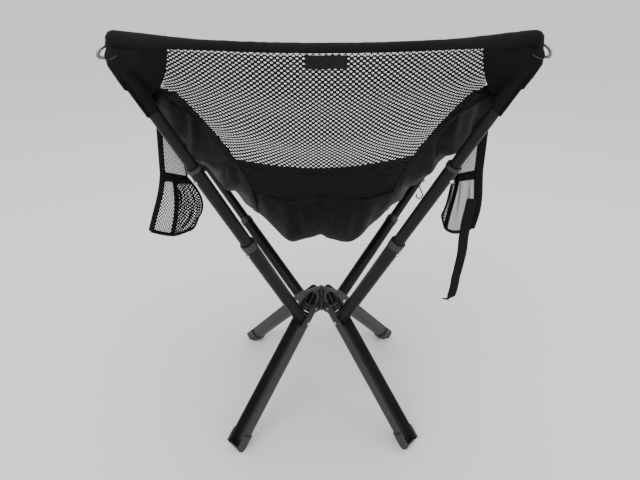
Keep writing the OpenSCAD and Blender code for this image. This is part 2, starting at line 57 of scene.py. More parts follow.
# Heights on the sling, in t from its front edge to its top: where the wings' seams with the seat end, and the
# top of the wings
SEAM_END = 0.745
WING_TOP = 0.925
# How far the back corner patches reach down from the top, in t
PATCH_DEPTH = 0.105
# Half the width of the seat's seam with the net, in s
SEAM_HALF = 0.463
# Half the width of the net at s = 1, in metres
NET_HALF = 0.2065

hub_lo, hub_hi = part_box("hub")
hub_y = (hub_lo.y + hub_hi.y) / 2

# ---- Camera: behind the chair and above it, as the photo was taken ----
cam = bpy.data.objects.new("camera", bpy.data.cameras.new("camera"))
bpy.context.scene.collection.objects.link(cam)
bpy.context.scene.camera = cam
cam.location = (0.0163, hub_y + 0.716, 0.709)
cam.rotation_euler = (math.radians(90 - 27.6), 0, math.radians(180 - 1.13))
cam.data.lens, cam.data.sensor_width = 26.04, 36
cam.data.clip_start, cam.data.clip_end = 0.02, 1000


# ---- The sling's surface ----
def pole(corner):
    """Pivot, direction and length of a pole at rest."""
    pivot = np.array(joints["pole_fold_" + corner]["pos_m"])
    along = np.array(joints["upper_slide_" + corner]["axis"])
    co = np.array([v.co for v in nodes["tip_cap_" + corner].data.vertices])
    return pivot, along, ((co - pivot) @ along).max()


def unit(v):
    return v / np.linalg.norm(v, axis=-1, keepdims=True)


def sling_corner(corner, past, lift, off):
    """Where the sling's corner is, past the pole's tip and inwards from it."""
    pivot, along, length = pole(corner)
    inward = unit(UP - along * along[2])
    return pivot + along * (length + past) + inward * off + UP * lift - np.array([0, hub_y, 0])


BACK = sling_corner("back_left", 0.008, 0.003, 0.0055)
FRONT = sling_corner("front_left", 0, -0.002, 0.017)
SPINE = np.array([[-0.25, 0.376], [-0.12, 0.278], [0.03, 0.230], [0.21, 0.663]])


def spine(t):
    w = np.stack([(1 - t) ** 3, 3 * t * (1 - t) ** 2, 3 * t * t * (1 - t), t**3], -1)
    return w @ SPINE


def edge(t):
    t = np.asarray(t, float)[..., None]
    return FRONT + (BACK - FRONT) * t - 4 * t * (1 - t) * np.array([0, 0, 0.05])


def sling(s, t):
    """A point of the sling: s from -1 at the sitter's right edge to 1, t from the front edge to the top."""
    s, t = np.broadcast_arrays(np.asarray(s, float), np.asarray(t, float))
    mid, side = spine(t), edge(t)
    out = np.empty(s.shape + (3,))
    out[..., 0] = s * side[..., 0]
    out[..., 1] = mid[..., 0] + (side[..., 1] - mid[..., 0]) * s * s + hub_y
    out[..., 2] = mid[..., 1] + (side[..., 2] - mid[..., 1]) * s * s
    # the stretched wings stand above a plain parabola
    a = np.abs(s)
    out[..., 2] += a**3 * (1 - a) * (0.15 * np.sin(math.pi * np.clip(t / 0.75, None, 1))
                                     + 0.13 * np.exp(-(((t - 0.6) / 0.15) ** 2)))
    # two slack lobes under the sitter, with a shallow notch between them
    low = np.exp(-(((t - 0.5) / 0.2) ** 2))
    out[..., 2] -= low * (0.017 * np.exp(-(((s - 0.24) / 0.12) ** 2))
                          + 0.021 * np.exp(-(((s + 0.26) / 0.13) ** 2)) - 0.003 * np.exp(-((s / 0.07) ** 2)))
    return out


def sling_normal(s, t, d=0.004):
    """Unit normal of the sling, towards the sitter."""
    return unit(np.cross(sling(s + d, t) - sling(s - d, t), sling(s, t + d) - sling(s, t - d)))


def smooth(a, b, x):
    x = np.clip((x - a) / (b - a), 0, 1)
    return x * x * (3 - 2 * x)


def fold_noise(s, t, scale, seed):
    """Smooth repeatable noise over the sling."""
    s, t = np.broadcast_arrays(np.asarray(s, float), np.asarray(t, float))
    flat = [noise.noise(Vector((a * scale[0], b * scale[1], seed)))
            for a, b in zip(s.ravel(), t.ravel())]
    return np.array(flat).reshape(s.shape)


def net_edge(t):
    """Where the wings meet the seat and the net, in s."""
    t = np.asarray(t, float)
    low = 0.60 - 0.135 * smooth(0.1, 0.7, t)
    rise = np.clip((t - SEAM_END) / 0.19, 0, 1)
    return low + 0.36 * rise**2.2


def patch_edge(t):
    """Where the back corner patches meet the net, in s."""
    return 0.742 + 0.16 * np.clip((1 - np.asarray(t, float)) / PATCH_DEPTH, 0, 1) ** 1.15


def seam_t(s):
    """Where the solid seat meets the net, in t."""
    return 0.800 - 0.044 * (np.abs(s) / SEAM_HALF) ** 1.5


# ---- Materials ----
class Mat:
    """A procedural material, its values set on the shader and its detail made of nodes."""

    def __init__(self, name, colour, rough, metal=0.0, sheen=0.0, sheen_rough=0.4, spec=0.5):
        self.mat = bpy.data.materials.new(name)
        self.mat.use_nodes = True
        self.tree = self.mat.node_tree
        self.bsdf = self.tree.nodes["Principled BSDF"]
        i = self.bsdf.inputs
        i["Base Color"].default_value = (*colour, 1)
        i["Roughness"].default_value = rough
        i["Metallic"].default_value = metal
        i["Specular IOR Level"].default_value = spec
        i["Sheen Weight"].default_value = sheen
        i["Sheen Roughness"].default_value = sheen_rough

    def node(self, kind, **sockets):
        n = self.tree.nodes.new("ShaderNode" + kind)
        for key, value in sockets.items():
            key = key.replace("_", " ")
            if isinstance(value, bpy.types.NodeSocket):
                self.tree.links.new(value, n.inputs[key])
            else:
                n.inputs[key].default_value = value
        return n

    def coords(self, scale=(1, 1, 1), uv=False):
        source = self.node("TexCoord").outputs["UV" if uv else "Object"]
        return self.node("Mapping", Vector=source, Scale=scale).outputs["Vector"]

    def noise(self, where, scale, detail=3.0):
        return self.node("TexNoise", Vector=where, Scale=scale, Detail=detail).outputs["Fac"]

    def spread(self, fac, low, high, a, b):
        """Maps fac from low..high to a..b."""
        n = self.node("MapRange", Value=fac)
        for key, value in (("From Min", low), ("From Max", high), ("To Min", a), ("To Max", b)):
            n.inputs[key].default_value = value
        return n.outputs["Result"]

    def tint(self, fac, colour_a, colour_b, low=0.3, high=0.7):
        ramp = self.node("ValToRGB", Fac=fac)
        ramp.color_ramp.elements[0].position, ramp.color_ramp.elements[1].position = low, high
        ramp.color_ramp.elements[0].color = (*colour_a, 1)
        ramp.color_ramp.elements[1].color = (*colour_b, 1)
        self.tree.links.new(ramp.outputs["Color"], self.bsdf.inputs["Base Color"])

    def rough(self, fac, a, b, low=0.3, high=0.7):
        self.tree.links.new(self.spread(fac, low, high, a, b), self.bsdf.inputs["Roughness"])

    def bump(self, height, distance, strength=1.0):
        last = self.bsdf.inputs["Normal"].links
        n = self.node("Bump", Height=height, Distance=distance, Strength=strength)
        if last:
            self.tree.links.new(last[0].from_socket, n.inputs["Normal"])
        self.tree.links.new(n.outputs["Normal"], self.bsdf.inputs["Normal"])

    def maths(self, operation, a, b=None):
        n = self.node("Math")
        n.operation = operation
        for socket, value in zip(n.inputs, (a, b)):
            if isinstance(value, bpy.types.NodeSocket):
                self.tree.links.new(value, socket)
            elif value is not None:
                socket.default_value = value
        return n.outputs["Value"]


def weave(m, pitch, depth, strength=0.15):
    """An over-and-under weave in the cloth's own lengths."""
    split = m.node("SeparateXYZ", Vector=m.coords(uv=True))
    u = m.maths("SINE", m.maths("MULTIPLY", split.outputs["X"], math.pi / pitch))
    v = m.maths("SINE", m.maths("MULTIPLY", split.outputs["Y"], math.pi / pitch))
    m.bump(m.maths("MULTIPLY", u, v), depth, strength)


def cloth_mat(name, dark, pale, rough, sheen, pitch=0.0007):
    m = Mat(name, dark, rough, sheen=sheen, sheen_rough=0.35, spec=0.08)
    where = m.coords()
    cloudy = m.noise(where, 14)
    m.tint(cloudy, dark, pale, 0.35, 0.7)
    m.rough(m.noise(where, 60), rough - 0.08, rough + 0.08)
    weave(m, pitch, 0.00006)
    m.bump(m.noise(where, 45, 3), 0.0005, 0.35)
    return m.mat


def plastic_mat(name, colour, pale, rough):
    m = Mat(name, colour, rough, spec=0.5)
    where = m.coords()
    m.tint(m.noise(where, 30), colour, pale)
    m.rough(m.noise(where, 180), rough - 0.07, rough + 0.1)
    m.bump(m.noise(where, 1500, 2), 0.00006, 0.7)
    return m.mat


def alloy_mat(name, dark, pale, spec):
    m = Mat(name, dark, 0.42, metal=0.05, spec=spec)
    where = m.coords()
    m.tint(m.noise(where, 12), dark, pale)
    m.rough(m.noise(where, 220), 0.34, 0.48)
    m.bump(m.noise(where, 900, 2), 0.00001, 0.5)
    return m.mat


def metal_mat(name, colour, rough):
    m = Mat(name, colour, rough, metal=1.0)
    where = m.coords()
    m.rough(m.noise(where, 300), rough - 0.08, rough + 0.12)
    m.bump(m.noise(where, 700, 2), 0.00003, 0.5)
    return m.mat


def webbing_mat(name, colour, pale, ribs=0.0012):
    m = Mat(name, colour, 0.78, sheen=0.02, spec=0.08)
    split = m.node("SeparateXYZ", Vector=m.coords(uv=True))
    across = m.maths("SINE", m.maths("MULTIPLY", split.outputs["Y"], 2 * math.pi / ribs))
    along = m.maths("SINE", m.maths("MULTIPLY", split.outputs["X"], 2 * math.pi / 0.0016))
    m.bump(m.maths("ADD", across, m.maths("MULTIPLY", along, 0.4)), 0.00010, 0.5)
    m.tint(m.noise(m.coords(), 60), colour, pale)
    return m.mat


def yarn_mat():
    m = Mat("net_yarn", (0.006, 0.006, 0.0065), 0.8, spec=0.05)
    m.tint(m.noise(m.coords(), 900, 2), (0.0045, 0.0045, 0.005), (0.009, 0.009, 0.0095))
    m.bump(m.noise(m.coords(), 3000, 1), 0.000006, 0.5)
    return m.mat


PLASTIC = plastic_mat("black_plastic", (0.0075, 0.0078, 0.0082), (0.0110, 0.0115, 0.0120), 0.5)
HUB_PLASTIC = plastic_mat("black_glass_filled", (0.016, 0.017, 0.018), (0.024, 0.025, 0.026), 0.5)
ALLOY = alloy_mat("satin_black_alloy", (0.0060, 0.0062, 0.0065), (0.0085, 0.0088, 0.0092), 0.14)
# The leg channels' alloy is a lighter, bluish copy of the black alloy: painted sky sheen on their insides,
# with a real higher specular.
CHANNEL_ALLOY_PAINTED_SHEEN = alloy_mat("satin_black_channel_painted_sheen", (0.0170, 0.0178, 0.0192), (0.0225, 0.0235, 0.0255), 0.30)
SILVER = metal_mat("bright_steel", (0.62, 0.62, 0.64), 0.28)
GREY_METAL = metal_mat("grey_alloy", (0.30, 0.31, 0.32), 0.36)
CLOTH = cloth_mat("black_nylon", (0.0038, 0.0038, 0.0041), (0.0062, 0.0061, 0.0062), 0.72, 0.02)
WING_CLOTH = cloth_mat("black_nylon_sheen", (0.0040, 0.0039, 0.0038), (0.0064, 0.0061, 0.0059), 0.62, 0.02)
BINDING = webbing_mat("binding_tape", (0.0038, 0.0038, 0.0040), (0.0060, 0.0060, 0.0060))
WEBBING = webbing_mat("black_webbing", (0.0045, 0.0045, 0.0048), (0.0075, 0.0075, 0.0078), 0.0015)
YARN = yarn_mat()
THREAD = cloth_mat("sewing_thread", (0.012, 0.012, 0.0125), (0.020, 0.020, 0.021), 0.6, 0.05)
LABEL = webbing_mat("label_cloth", (0.010, 0.010, 0.011), (0.016, 0.016, 0.017), 0.0008)
WIRE = plastic_mat("coated_wire", (0.020, 0.020, 0.021), (0.032, 0.032, 0.034), 0.35)


# ---- Mesh helpers ----
def make(name, verts, faces, mat, uvs=None, smooth_faces=True):
    me = bpy.data.meshes.new(name)
    me.from_pydata([tuple(v) for v in verts], [], [tuple(f) for f in faces])
    if uvs is not None:
        layer = me.uv_layers.new(name="UVMap")
        index = np.zeros(len(me.loops), int)
        me.loops.foreach_get("vertex_index", index)
        layer.data.foreach_set("uv", np.asarray(uvs, float)[index].ravel())
    me.polygons.foreach_set("use_smooth", [smooth_faces] * len(me.polygons))
    me.materials.append(mat)
    o = bpy.data.objects.new(name, me)
    bpy.context.scene.collection.objects.link(o)
    return o


def soft(o):
    """A soft piece rides the hub's body, on a mesh of its own."""
    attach(o, "root")
    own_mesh(o)
    return o


def grid_normals(p):
    du = np.gradient(p, axis=1)
    dv = np.gradient(p, axis=0)
    return unit(np.cross(du, dv))


def grid_uv(p):
    """Lengths along the cloth in metres, for its weave."""
    u = np.concatenate([np.zeros((p.shape[0], 1)),
                        np.cumsum(np.linalg.norm(np.diff(p, axis=1), axis=-1), 1)], 1)
    v = np.concatenate([np.zeros((1, p.shape[1])),
                        np.cumsum(np.linalg.norm(np.diff(p, axis=0), axis=-1), 0)], 0)
    return np.stack([u, v], -1)


def shell(name, p, thick, mat, shift=0.0, closed=False):
    """A closed sheet of cloth from a grid of points, thick metres thick, moved by shift along its normal.
    closed takes its normals as if its first and last columns were joined."""
    rows, cols = p.shape[:2]
    n = grid_normals(p)
    if closed:
        wrapped = np.concatenate([p[:, -2:-1], p, p[:, 1:2]], 1)
        n = grid_normals(wrapped)[:, 1:-1]
    uv = grid_uv(p).reshape(-1, 2)
    top = (p + n * (shift + thick / 2)).reshape(-1, 3)
    low = (p + n * (shift - thick / 2)).reshape(-1, 3)
    count = rows * cols
    faces = []
    for j in range(rows - 1):
        for i in range(cols - 1):
            a = j * cols + i
            faces.append((a, a + 1, a + cols + 1, a + cols))
            faces.append((a + count, a + cols + count, a + cols + 1 + count, a + 1 + count))
    rim = list(range(cols)) + [j * cols + cols - 1 for j in range(1, rows)]
    rim += [(rows - 1) * cols + i for i in range(cols - 2, -1, -1)]
    rim += [j * cols for j in range(rows - 2, 0, -1)]
    for a, b in zip(rim, rim[1:] + rim[:1]):
        faces.append((b, a, a + count, b + count))
    return make(name, np.concatenate([top, low]), faces, mat, np.concatenate([uv, uv]))


def tube(name, path, radius, mat, sides=10, flat=1.0, up=UP):
    """A round or flattened tube along a path. radius may be one value or one per point."""
    path = np.asarray(path, float)
    n = len(path)
    radius = np.broadcast_to(np.asarray(radius, float), (n,))
    tangent = unit(np.gradient(path, axis=0))
    up = np.broadcast_to(np.asarray(up, float), path.shape)
    side = unit(np.cross(tangent, up))
    lift = np.cross(side, tangent)
    angle = np.linspace(0, 2 * math.pi, sides, endpoint=False)
    ring = (side[:, None] * np.cos(angle)[None, :, None]
            + lift[:, None] * np.sin(angle)[None, :, None] * flat)
    verts = (path[:, None] + ring * radius[:, None, None]).reshape(-1, 3)
    faces = []
    for k in range(n - 1):
        for m in range(sides):
            a, b = k * sides + m, k * sides + (m + 1) % sides
            faces.append((a, b, b + sides, a + sides))
    faces.append(tuple(range(sides - 1, -1, -1)))
    faces.append(tuple((n - 1) * sides + m for m in range(sides)))
    along = np.concatenate([[0], np.cumsum(np.linalg.norm(np.diff(path, axis=0), axis=1))])
    uvs = np.stack([np.tile(angle / (2 * math.pi) * 0.03, n), np.repeat(along, sides)], -1)
    return make(name, verts, faces, mat, uvs)


def resample(path, step):
    path = np.asarray(path, float)
    along = np.concatenate([[0], np.cumsum(np.linalg.norm(np.diff(path, axis=0), axis=1))])
    count = max(2, int(round(along[-1] / step)) + 1)
    at = np.linspace(0, along[-1], count)
    return np.stack([np.interp(at, along, path[:, k]) for k in range(3)], -1)


def stitches(name, path, normal, pitch=0.0040, length=0.0026, wide=0.0007):
    """A row of sewing-thread stitches lying on a path."""
    path = np.asarray(path, float)
    along = np.concatenate([[0], np.cumsum(np.linalg.norm(np.diff(path, axis=0), axis=1))])
    at = np.arange(pitch / 2, along[-1] - length, pitch)
    here = np.stack([np.interp(at, along, path[:, k]) for k in range(3)], -1)
    there = np.stack([np.interp(at + length, along, path[:, k]) for k in range(3)], -1)
    normal = np.asarray(normal, float)
    if normal.ndim == 2:
        normal = np.stack([np.interp(at, along, normal[:, k]) for k in range(3)], -1)
    normal = unit(np.broadcast_to(normal, here.shape))
    side = unit(np.cross(there - here, normal)) * wide / 2
    mid = (here + there) / 2
    lift = normal * wide * 0.7
    parts = [here, mid + side, there, mid - side, mid + lift, mid - lift * 0.4]
    verts = np.stack(parts, 1).reshape(-1, 3)
    sides = np.array([[0, 1, 4], [1, 2, 4], [2, 3, 4], [3, 0, 4], [1, 0, 5], [2, 1, 5], [3, 2, 5], [0, 3, 5]])
    faces = (sides[None] + 6 * np.arange(len(here))[:, None, None]).reshape(-1, 3)
    return make(name, verts, faces, THREAD, smooth_faces=False)


# ---- Frame: the CAD nodes with their finishes, the leg channels' alloy lightened as painted sky sheen ----
def finish_nodes():
    for name, o in nodes.items():
        o.data.materials.clear()
        if name == "hub":
            o.data.materials.append(HUB_PLASTIC)
        elif name.startswith(("foot", "lower_collar", "mid_collar", "tip_cap", "pivot_plug")):
            o.data.materials.append(PLASTIC)
        # the leg channels take the alloy copy lightened with painted sky sheen
        elif name.startswith("leg_channel"):
            o.data.materials.append(CHANNEL_ALLOY_PAINTED_SHEEN)
        elif name.startswith(("lower_tube", "mid_tube", "upper_tube")):
            o.data.materials.append(ALLOY)
        elif name.startswith(("leg_pins", "pole_pin", "snap_button")):
            o.data.materials.append(SILVER)
        elif name == "s_hook":
            o.data.materials.append(WIRE)
        else:
            o.data.materials.append(CLOTH)


finish_nodes()


# ---- Sling cloth ----
def wing_wrinkle(s, t, side):
    """Soft folds that run down from the back corner, along the arm."""
    a = np.abs(s)
    fan = a + 0.55 * (t - 0.6)
    w = 0.0044 * np.sin(fan * 34 + 1.1 * side) * smooth(0.25, 0.55, t) * smooth(1.0, 0.86, t)
    w = w + 0.0026 * np.sin(fan * 61 + 2.0) * smooth(0.45, 0.7, t) * smooth(0.98, 0.85, t)
    w = w + 0.0036 * fold_noise(a, t, (7, 9), 3.0 + side)
    inner = net_edge(t)
    return w * smooth(1.03, 0.93, a) * smooth(inner - 0.01, inner + 0.14, a)


def seat_wrinkle(s, t):
    w = 0.0026 * fold_noise(s, t, (5, 6), 9.0) + 0.0012 * fold_noise(s, t, (14, 16), 4.0)
    # puckers running down from the seam with the net
    w = w + 0.0020 * np.sin(s * 46) * smooth(0.45, 0.72, t) * smooth(0.8, 0.7, t)
    # the notch where the seat's two halves meet
    return w + 0.004 * np.exp(-((s / 0.035) ** 2)) * smooth(0.25, 0.5, t)


def cloth_grid(s_from, s_to, t_from, t_to, cols, rows, wrinkle=None):
    """A grid of points on the sling. The limits in s may be functions of t, and the limits in t of s."""
    v = np.linspace(0, 1, rows)[:, None]
    u = np.linspace(0, 1, cols)[None, :]

    def fixed(limit, x):
        return limit(x) if callable(limit) else np.full_like(x, limit)

    t_mid = fixed(t_from, np.zeros_like(u + v)) * (1 - v) + fixed(t_to, np.zeros_like(u + v)) * v
    for _ in range(4):
        s = fixed(s_from, t_mid) * (1 - u) + fixed(s_to, t_mid) * u
        t_mid = fixed(t_from, s) * (1 - v) + fixed(t_to, s) * v
    p = sling(s, t_mid)
    if wrinkle is not None:
        p = p + sling_normal(s, t_mid) * wrinkle(s, t_mid)[..., None]
    return p


def band(name, s, t, width, thick, shift, mat, wrinkle=None):
    """A tape of that width along a line on the sling, with the line, its normals and its sides."""
    line = sling(s, t)
    n = sling_normal(s, t)
    if wrinkle is not None:
        line = line + n * wrinkle(s, t)[..., None]
    across = unit(np.cross(n, np.gradient(line, axis=0)))
    v = np.linspace(-0.5, 0.5, 5)[:, None, None]
    crown = (1 - (2 * v) ** 2) * 0.0004
    p = line[None] + across[None] * v * width + n[None] * crown
    return shell(name, p, thick, mat, shift), line, n, across


def build_seat():
    p = cloth_grid(lambda t: -net_edge(t) - 0.004, lambda t: net_edge(t) + 0.004, 0.0,
                   seam_t, 96, 110, seat_wrinkle)
    seat = shell("seat_cloth", p, 0.0010, CLOTH)
    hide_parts("seat_panel")
    soft(seat)
    # tape over the seam with the net, and over the front edge
    s = np.linspace(-SEAM_HALF, SEAM_HALF, 120)
    tape, line, n, across = band("seat_seam_tape", s, seam_t(s), 0.012, 0.0009, -0.0012, BINDING,
                                 seat_wrinkle)
    soft(tape)
    for k, off in enumerate((-0.0045, 0.0045)):
        soft(stitches(f"seat_seam_stitch_{k}", line + across * off - n * 0.0022, -n))
    s = np.linspace(-0.985, 0.985, 160)
    tape, line, n, across = band("front_edge_tape", s, np.full_like(s, 0.006), 0.016, 0.0022, 0, BINDING)
    soft(tape)
    soft(stitches("front_edge_stitch", line + across * 0.005 - n * 0.0016, -n))


def build_wing(side):
    tag = "left" if side > 0 else "right"

    def wrinkle(s, t):
        return wing_wrinkle(s, t, side)

    p = cloth_grid(lambda t: side * (net_edge(t) - 0.004), side, 0.045, WING_TOP, 56, 120, wrinkle)
    wing = shell("wing_cloth_" + tag, p, 0.0010, WING_CLOTH)
    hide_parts("wing_" + tag)
    soft(wing)
    # a broad folded hem along the net's side
    t = np.linspace(SEAM_END, WING_TOP, 90)
    s = side * (net_edge(t) + 0.012)
    tape, line, n, across = band("net_side_tape_" + tag, s, t, 0.013, 0.0010, -0.0012, WING_CLOTH,
                                 wrinkle)
    soft(tape)
    for k, off in enumerate((-0.0050, 0.0050)):
        soft(stitches(f"net_side_stitch_{tag}_{k}", line + across * off - n * 0.0022, -n))
    # the outer edge is bound with tape
    t = np.linspace(0.03, 0.93, 140)
    s = side * np.full_like(t, 0.995)
    tape, line, n, across = band("side_edge_tape_" + tag, s, t, 0.014, 0.0020, 0, BINDING,
                                 wrinkle)
    soft(tape)
    soft(stitches("side_edge_stitch_" + tag, line + across * side * 0.004 - n * 0.0014, -n))
    # the seam where the wing meets the seat
    t = np.linspace(0.05, SEAM_END, 120)
    s = side * net_edge(t)
    tape, line, n, _ = band("wing_seam_" + tag, s, t, 0.009, 0.0012, -0.0010, CLOTH, wrinkle)
    soft(tape)
    soft(stitches("wing_seam_stitch_" + tag, line - n * 0.0022, -n))


def build_corners(side):
    tag = "left" if side > 0 else "right"
    pivot, along, length = pole("back_" + tag)
    away = unit(np.cross(along, UP)) * side
    behind = unit(np.cross(away, along)) * side
    behind = behind * np.sign(behind[1])
    v = np.linspace(0, 1, 40)[:, None]
    u = np.linspace(0, 1, 44)[None, :]

    # a patch from the net's edge, wrapped round the camera side of the pole's tip
    t = 1.0 - PATCH_DEPTH * v
    inner = sling(side * (patch_edge(t) - 0.004), t)
    hem_row = sling(side * (patch_edge(1.0) + (1.015 - patch_edge(1.0)) * u), 1.0 + 0 * u)
    run = length + 0.006 - 0.040 * v[..., None]
    hub_side = pivot + along * run - away * 0.004 + behind * 0.0105
    pole_side = pivot + along * run + away * 0.0098 + behind * 0.001
    w = u[..., None]
    flat = inner * (1 - w / 0.82) + hub_side * (w / 0.82)
    wrap = np.clip((w - 0.82) / 0.18, 0, 1)
    curl = hub_side * (1 - wrap) + pole_side * wrap + behind * 0.0035 * np.sin(math.pi * wrap)
    p = np.where(w < 0.82, flat, curl)
    p = p - UP * 0.003 * np.sin(math.pi * u[..., None].clip(0, 1)) * v[..., None]
    p = hem_row + (p - hem_row) * smooth(-0.05, 0.35, v)[..., None]
    pleat = 0.0014 * fold_noise(u + 0 * v, v + 0 * u, (5, 3), 5.0 + side) + 0.0009 * np.sin(u * 17 + v * 5)
    p = p + grid_normals(p) * (pleat * np.sin(math.pi * u) * smooth(0, 0.15, v))[..., None]
    patch = shell("back_corner_cloth_" + tag, p, 0.0014, CLOTH)
    soft(patch)
    t = np.linspace(0.945, 0.985, 24)
    s = side * (patch_edge(t) + 0.028)
    line, n = sling(s, t), sling_normal(s, t)
    soft(stitches("back_corner_stitch_" + tag, line - n * 0.0030, -n))

    # below the patch the wing's top is folded round the pole
    t = WING_TOP - 0.095 * v
    inner = sling(side * (0.90 + 0.05 * v), t)
    run = length - 0.030 - 0.042 * v[..., None]
    hub_side = pivot + along * run - away * 0.005 + behind * 0.0092
    pole_side = pivot + along * run + away * (0.0090 - 0.0006 * v[..., None]) + behind * 0.001
    flat = inner * (1 - w / 0.7) + hub_side * (w / 0.7)
    wrap = np.clip((w - 0.7) / 0.3, 0, 1)
    curl = hub_side * (1 - wrap) + pole_side * wrap + behind * 0.003 * np.sin(math.pi * wrap)
    p = np.where(w < 0.7, flat, curl)
    deep = np.sin(math.pi * np.clip(u / 0.7, 0, 1)) ** 2
    p = p - behind * (0.006 * deep * (0.4 + 0.6 * v))[..., None]
    gusset = shell("wing_wrap_cloth_" + tag, p, 0.0012, WING_CLOTH)
    soft(gusset)

    # sleeve of the same cloth over the pole's tip
    run = np.linspace(length - 0.070, length + 0.004, 30)
    path = pivot + along * run[:, None]
    radius = 0.0088 + 0.0003 * np.sin(run * 260)
    radius = radius * np.sqrt(np.clip(1 - ((run - (length - 0.005)) / 0.0100).clip(0) ** 2, 0.04, 1))
    sleeve = tube("tip_sleeve_" + tag, path, radius, CLOTH, sides=20, up=np.cross(along, UP))
    soft(sleeve)

    # the front corner's patch, and its sleeve over the pole's tip
    p = cloth_grid(lambda t: side * net_edge(t), side * 1.02, 0.0, 0.06, 24, 12)
    soft(shell("front_corner_cloth_" + tag, p, 0.0016, CLOTH, shift=-0.0016))
    pivot, along, length = pole("front_" + tag)
    run = np.linspace(length - 0.034, length + 0.004, 14)
    path = pivot + along * run[:, None]
    radius = 0.0125 * np.sqrt(np.clip(1 - ((run - (length - 0.008)) / 0.0132).clip(0) ** 2, 0.04, 1))
    soft(tube("front_tip_sleeve_" + tag, path, radius, CLOTH, sides=20,
              up=np.cross(along, UP)))


def build_hem():
    s = np.linspace(-1.016, 1.016, 190)
    line = sling(np.clip(s, -1, 1), 1.0)
    line[:, 0] = s * BACK[0]
    line[:, 2] += 0.001 + 0.0004 * fold_noise(s, np.zeros_like(s), (24, 1), 2.0)
    end = np.sqrt(np.clip(1 - ((np.abs(s) - 0.976) / 0.042).clip(0) ** 2, 0.05, 1))
    tall = 0.0057 + 0.0030 * smooth(0.55, 0.98, np.abs(s))
    hem = tube("top_hem_cloth", line, tall * end, CLOTH, sides=18, flat=0.72,
               up=np.array([0, 0.75, 0.66]))
    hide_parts("top_hem")
    soft(hem)
    inside = np.abs(s) < 0.96
    n = np.broadcast_to(np.array([0, 0.9, -0.45]), line[inside].shape)
    soft(stitches("top_hem_stitch", line[inside] + np.array([0, 0.0036, -0.0036]), n))


# ---- The net ----
def net_piece(name, place, cells, hole, thick=0.0007):
    """A knitted net of real strands. Each cell is its centre in cloth coordinates and its two half sizes.
    place maps cloth coordinates to points and normals, and hole gives the half sizes of the cells' holes."""
    cells = np.asarray(cells, float)
    corner = np.array([(0, 1), (0.5, 0.5), (1, 0), (0.5, -0.5), (0, -1), (-0.5, -0.5), (-1, 0), (-0.5, 0.5)])
    angle = np.radians([90, 45, 0, -45, -90, -135, 180, 135])
    oval = np.stack([np.cos(angle), np.sin(angle)], -1)
    centre, half, gap = cells[:, None, 0:2], cells[:, None, 2:4], hole(cells)[:, None]
    outer = centre + corner[None] * half
    inner = centre + oval[None] * gap
    p_out, n_out = place(outer)
    p_in, _ = place(inner)
    verts = np.stack([p_out + n_out * thick / 2, p_out - n_out * thick / 2, p_in], 1).reshape(-1, 3)
    k = np.arange(8)
    nxt = (k + 1) % 8
    front = np.stack([k, nxt, 16 + nxt, 16 + k], -1)
    back = np.stack([8 + nxt, 8 + k, 16 + k, 16 + nxt], -1)
    quads = np.concatenate([front, back])
    faces = (quads[None] + 24 * np.arange(len(cells))[:, None, None]).reshape(-1, 4)
    return make(name, verts, faces, YARN, smooth_faces=False)


PITCH_X, PITCH_Y = 0.0064, 0.0059
BASE = np.linspace(0.60, 1.0, 400)
CENTRE_RUN = np.concatenate([[0], np.cumsum(np.linalg.norm(np.diff(spine(BASE), axis=0), axis=1))])


def net_wrinkle(s, t):
    """Shallow folds across the net, stretched between its corners."""
    level = (t - 0.80) / 0.2
    w = 0.0016 * np.sin(level * 21 + 1.5 * s * s) * smooth(0.0, 0.3, level) * smooth(1.0, 0.75, level)
    return w + 0.0010 * fold_noise(s, t, (3, 30), 6.0)


def build_net():
    rows = int(CENTRE_RUN[-1] / (PITCH_Y / 2))
    cells = []
    for j in range(rows):
        run = j * PITCH_Y / 2
        t = float(np.interp(run, CENTRE_RUN, BASE))
        for i in range(-36, 37):
            x = (i + 0.5 * (j % 2)) * PITCH_X
            s = x / NET_HALF
            if t < seam_t(s) - 0.004 or t > 0.996:
                continue
            limit = net_edge(t) if t < 0.90 else patch_edge(t)
            if t > 1 - PATCH_DEPTH:
                limit = max(limit, patch_edge(t))
            if abs(s) > limit + 0.012:
                continue
            cells.append((x, run, PITCH_X / 2, PITCH_Y / 2))

    def fan(s, t):
        """The rows draw together towards the corner patch's lower point."""
        pull = smooth(0.45, 0.92, np.abs(s)) * np.exp(-(((t - 0.90) / 0.055) ** 2))
        return t + 0.62 * pull * (0.90 - t)

    def place(q):
        s, t = q[..., 0] / NET_HALF, np.interp(q[..., 1], CENTRE_RUN, BASE)
        t = fan(s, t)
        n = sling_normal(s, t)
        return sling(s, t) + n * net_wrinkle(s, t)[..., None], n

    def hole(c):
        s, t = np.abs(c[:, 0] / NET_HALF), np.interp(c[:, 1], CENTRE_RUN, BASE)
        tight = smooth(0.5, 0.9, s) * np.exp(-(((t - 0.90) / 0.06) ** 2))
        return np.stack([0.00150 + 0 * s, 0.00118 * (1 - 0.25 * tight)], -1)

    net = net_piece("back_net", place, cells, hole)
    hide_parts("back_mesh")
    soft(net)


# ---- Side pockets ----
# How far each pocket's back and front edges stand from the chair's middle: at the floor of the bag, at its
# mouth, and how far the edge bows outwards between them
BAG_BACK = {1: (0.257, 0.226, -0.003), -1: (0.2245, 0.2225, 0.004)}
BAG_FRONT = {1: (0.216, 0.226, -0.016), -1: (0.215, 0.2275, 0.0)}


def bag_edge(profile, low):
    at_floor, at_mouth, bow = profile
    return at_floor + (at_mouth - at_floor) * low + bow * np.sin(math.pi * low)


